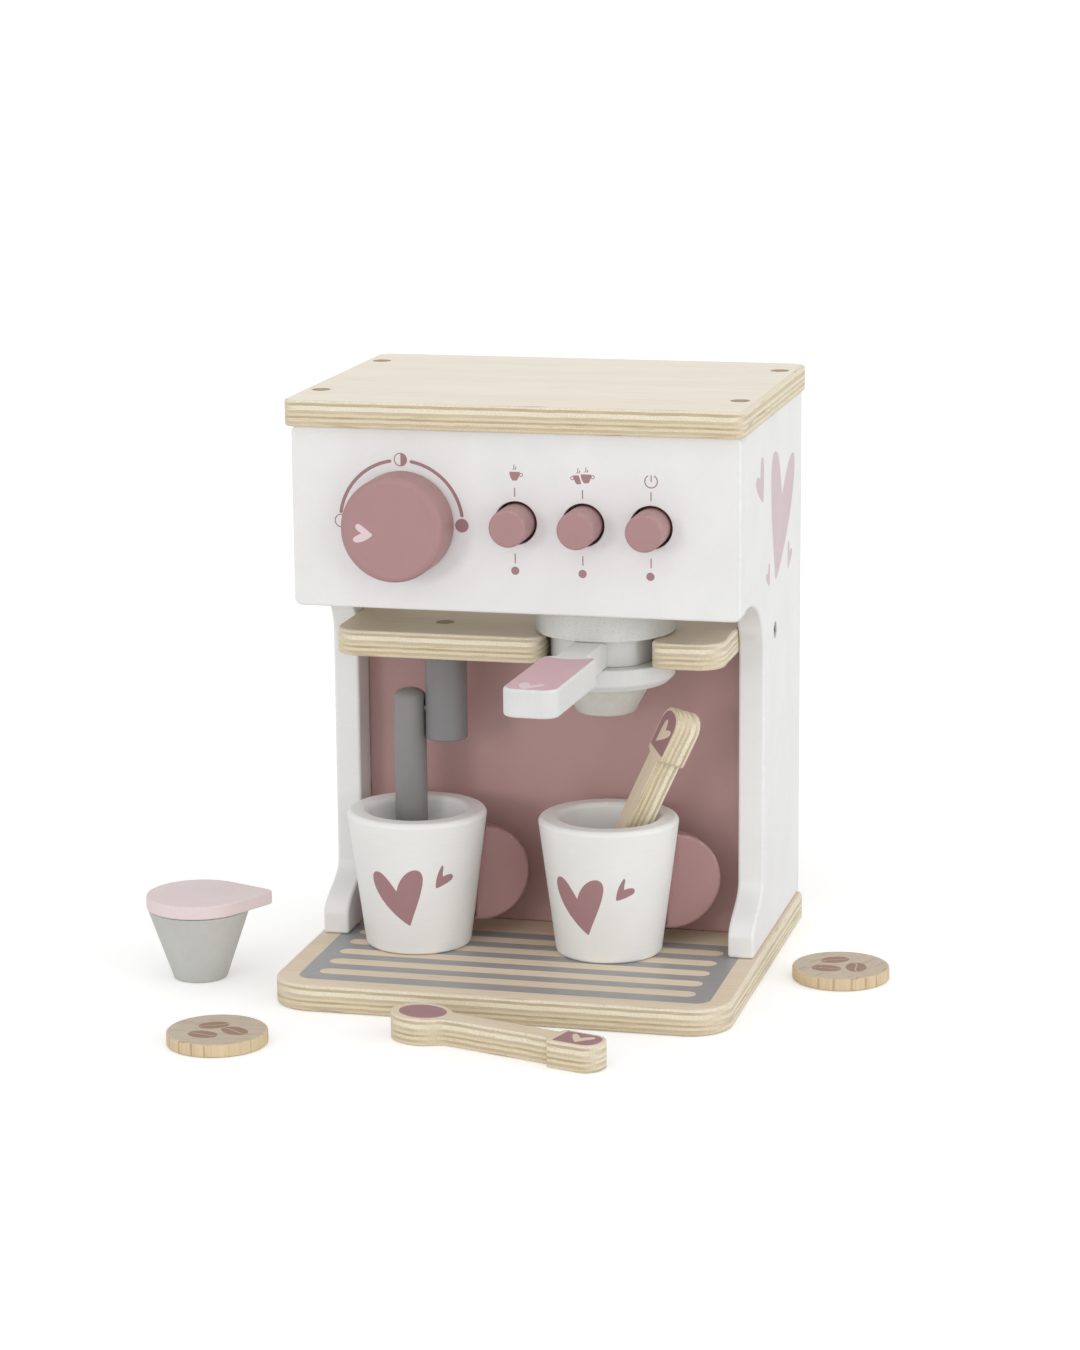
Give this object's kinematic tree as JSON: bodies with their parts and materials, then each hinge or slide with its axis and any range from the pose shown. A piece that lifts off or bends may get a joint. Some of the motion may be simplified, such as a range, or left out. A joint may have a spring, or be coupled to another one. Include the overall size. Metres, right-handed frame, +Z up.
{
  "type": "toy coffee maker",
  "caption": "Wooden toy espresso machine with a turning dial, sprung buttons, a pull-out portafilter, a swinging steam wand, cups, spoons, creamer and coffee pads.",
  "frame": {"origin": "middle of the base plate's underside, on the surface that the toy stands on", "axes": "+X to the machine's right as seen from the front, +Y to its back, +Z up"},
  "size_m": [0.3331, 0.2726, 0.268],
  "materials": {
    "plywood": "sanded birch plywood, clear matt varnish",
    "dowel_wood": "end grain, matt",
    "white_paint": "satin white paint on wood",
    "pink_paint": "satin dusty pink paint on wood",
    "pale_pink_paint": "satin pale pink paint on wood",
    "grey_paint": "satin grey paint on wood",
    "light_grey_paint": "satin light grey paint on wood",
    "speckled_paint": "light grey stain on wood, grain showing",
    "beech": "sanded natural wood, matt",
    "zinc": "zinc-plated screw steel",
    "spring_wire": "bright drawn spring wire"
  },
  "bodies": {
    "housing": {"base_plate": "plywood", "base_screw_1": "zinc", "base_screw_2": "zinc", "base_screw_3": "zinc", "base_screw_4": "zinc", "top_plate": "plywood", "top_dowel_1": "dowel_wood", "top_dowel_2": "dowel_wood", "top_dowel_3": "dowel_wood", "top_dowel_4": "dowel_wood", "left_side_panel": "white_paint", "right_side_panel": "white_paint", "left_side_screw": "zinc", "right_side_screw": "zinc", "front_panel": "white_paint", "back_panel": "pink_paint", "shelf": "plywood", "button_rail": "plywood", "wand_post": "grey_paint", "wand_dowel": "dowel_wood", "wand_pin": "zinc", "left_button_spring": "spring_wire", "middle_button_spring": "spring_wire", "right_button_spring": "spring_wire"},
    "dial": {"dial_knob": "pink_paint", "dial_axle": "dowel_wood", "dial_retainer": "dowel_wood", "dial_screw": "zinc"},
    "left_push_button": {"left_button": "pink_paint"},
    "middle_push_button": {"middle_button": "pink_paint"},
    "right_push_button": {"right_button": "pink_paint"},
    "portafilter_slider": {"filter_cup": "speckled_paint"},
    "portafilter": {"handle_plate": "light_grey_paint", "lower_ring": "light_grey_paint", "spout_cone": "speckled_paint"},
    "left_mug": {"left_cup": "white_paint", "left_cup_handle": "pink_paint"},
    "steam_wand": {"wand_arm": "grey_paint"},
    "right_mug": {"right_cup": "white_paint", "right_cup_handle": "pink_paint"},
    "mug_spoon": {"cup_spoon": "plywood"},
    "loose_spoon": {"table_spoon": "plywood"},
    "creamer": {"creamer_cup": "speckled_paint"},
    "lid": {"creamer_lid": "pale_pink_paint"},
    "left_pad": {"left_coffee_pad": "beech"},
    "right_pad": {"right_coffee_pad": "beech"}
  },
  "joints": [
    {"name": "dial_turn", "type": "hinge", "parent": "housing", "child": "dial", "pos_m": [-0.0505, -0.0531, 0.2135], "axis": [0, -1, 0], "continuous": true},
    {"name": "left_button_press", "type": "slide", "parent": "housing", "child": "left_push_button", "axis": [0, 1, 0], "range_m": [0, 0.005], "stiffness_N_per_m": 300, "deforming": ["left_button_spring"]},
    {"name": "middle_button_press", "type": "slide", "parent": "housing", "child": "middle_push_button", "axis": [0, 1, 0], "range_m": [0, 0.005], "stiffness_N_per_m": 300, "deforming": ["middle_button_spring"]},
    {"name": "right_button_press", "type": "slide", "parent": "housing", "child": "right_push_button", "axis": [0, 1, 0], "range_m": [0, 0.005], "stiffness_N_per_m": 300, "deforming": ["right_button_spring"]},
    {"name": "portafilter_slide", "type": "slide", "parent": "housing", "child": "portafilter_slider", "axis": [0, -1, 0], "range_m": [0, 0.075]},
    {"name": "portafilter_turn", "type": "hinge", "parent": "portafilter_slider", "child": "portafilter", "pos_m": [0.032, -0.012, 0.1545], "axis": [0, 0, 1], "range_deg": [-34, 38]},
    {"name": "left_cup_slide", "type": "slide", "parent": "housing", "child": "left_mug", "axis": [0, -0.9945, 0.1045], "range_m": [0, 0.08]},
    {"name": "wand_arm_swing", "type": "hinge", "parent": "housing", "child": "steam_wand", "pos_m": [-0.0608, -0.01, 0.12], "axis": [-1, 0, 0], "range_deg": [0, 100]},
    {"name": "right_cup_slide", "type": "slide", "parent": "housing", "child": "right_mug", "axis": [0, -0.9945, 0.1045], "range_m": [0, 0.085]},
    {"name": "cup_spoon_lift", "type": "slide", "parent": "right_mug", "child": "mug_spoon", "axis": [0.4163, 0, 0.9092], "range_m": [0, 0.01]},
    {"name": "table_spoon_lift", "type": "slide", "parent": "housing", "child": "loose_spoon", "axis": [0, -0.866, 0.5], "range_m": [0, 0.1]},
    {"name": "creamer_lift", "type": "slide", "parent": "housing", "child": "creamer", "axis": [0, 0, 1], "range_m": [0, 0.1]},
    {"name": "creamer_lid_lift", "type": "slide", "parent": "creamer", "child": "lid", "axis": [0, 0, 1], "range_m": [0, 0.04]},
    {"name": "left_pad_lift", "type": "slide", "parent": "housing", "child": "left_pad", "axis": [0, 0, 1], "range_m": [0, 0.1]},
    {"name": "right_pad_lift", "type": "slide", "parent": "housing", "child": "right_pad", "axis": [0, 0, 1], "range_m": [0, 0.1]}
  ],
  "couplings": [
    {"joint": "wand_arm_swing", "follows": "left_cup_slide", "rad_per_m": 21.8}
  ]
}
